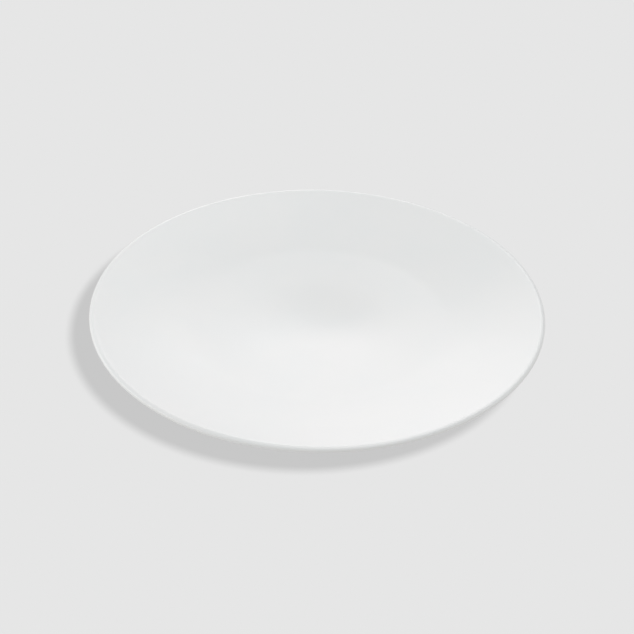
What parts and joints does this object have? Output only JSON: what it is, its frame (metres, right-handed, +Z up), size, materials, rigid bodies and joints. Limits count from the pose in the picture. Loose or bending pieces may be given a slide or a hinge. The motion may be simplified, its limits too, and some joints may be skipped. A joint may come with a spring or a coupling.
{
  "type": "coupe dinner plate",
  "caption": "Round coupe dinner plate: a shallow upcurved dish with no rim shelf, a soft rounded edge and a low foot ring, in plain white glaze with a bare bearing edge.",
  "frame": {"origin": "on the table plane, at the centre of the foot ring, under the plate's centre", "axes": "+Z up along the plate's axis of revolution, from the foot ring to the eating face; X and Y lie in the table plane, and -Y faces the viewer of the picture"},
  "size_m": [0.27, 0.27, 0.022],
  "materials": {
    "bare_ceramic": "fired, unglazed and fine-grained, ground smooth on the bearing edge",
    "white_glaze": "satin-gloss plain white glaze"
  },
  "bodies": {
    "root": {"ceramic_body": "bare_ceramic", "face_glaze": "white_glaze", "base_glaze": "white_glaze"}
  },
  "joints": []
}
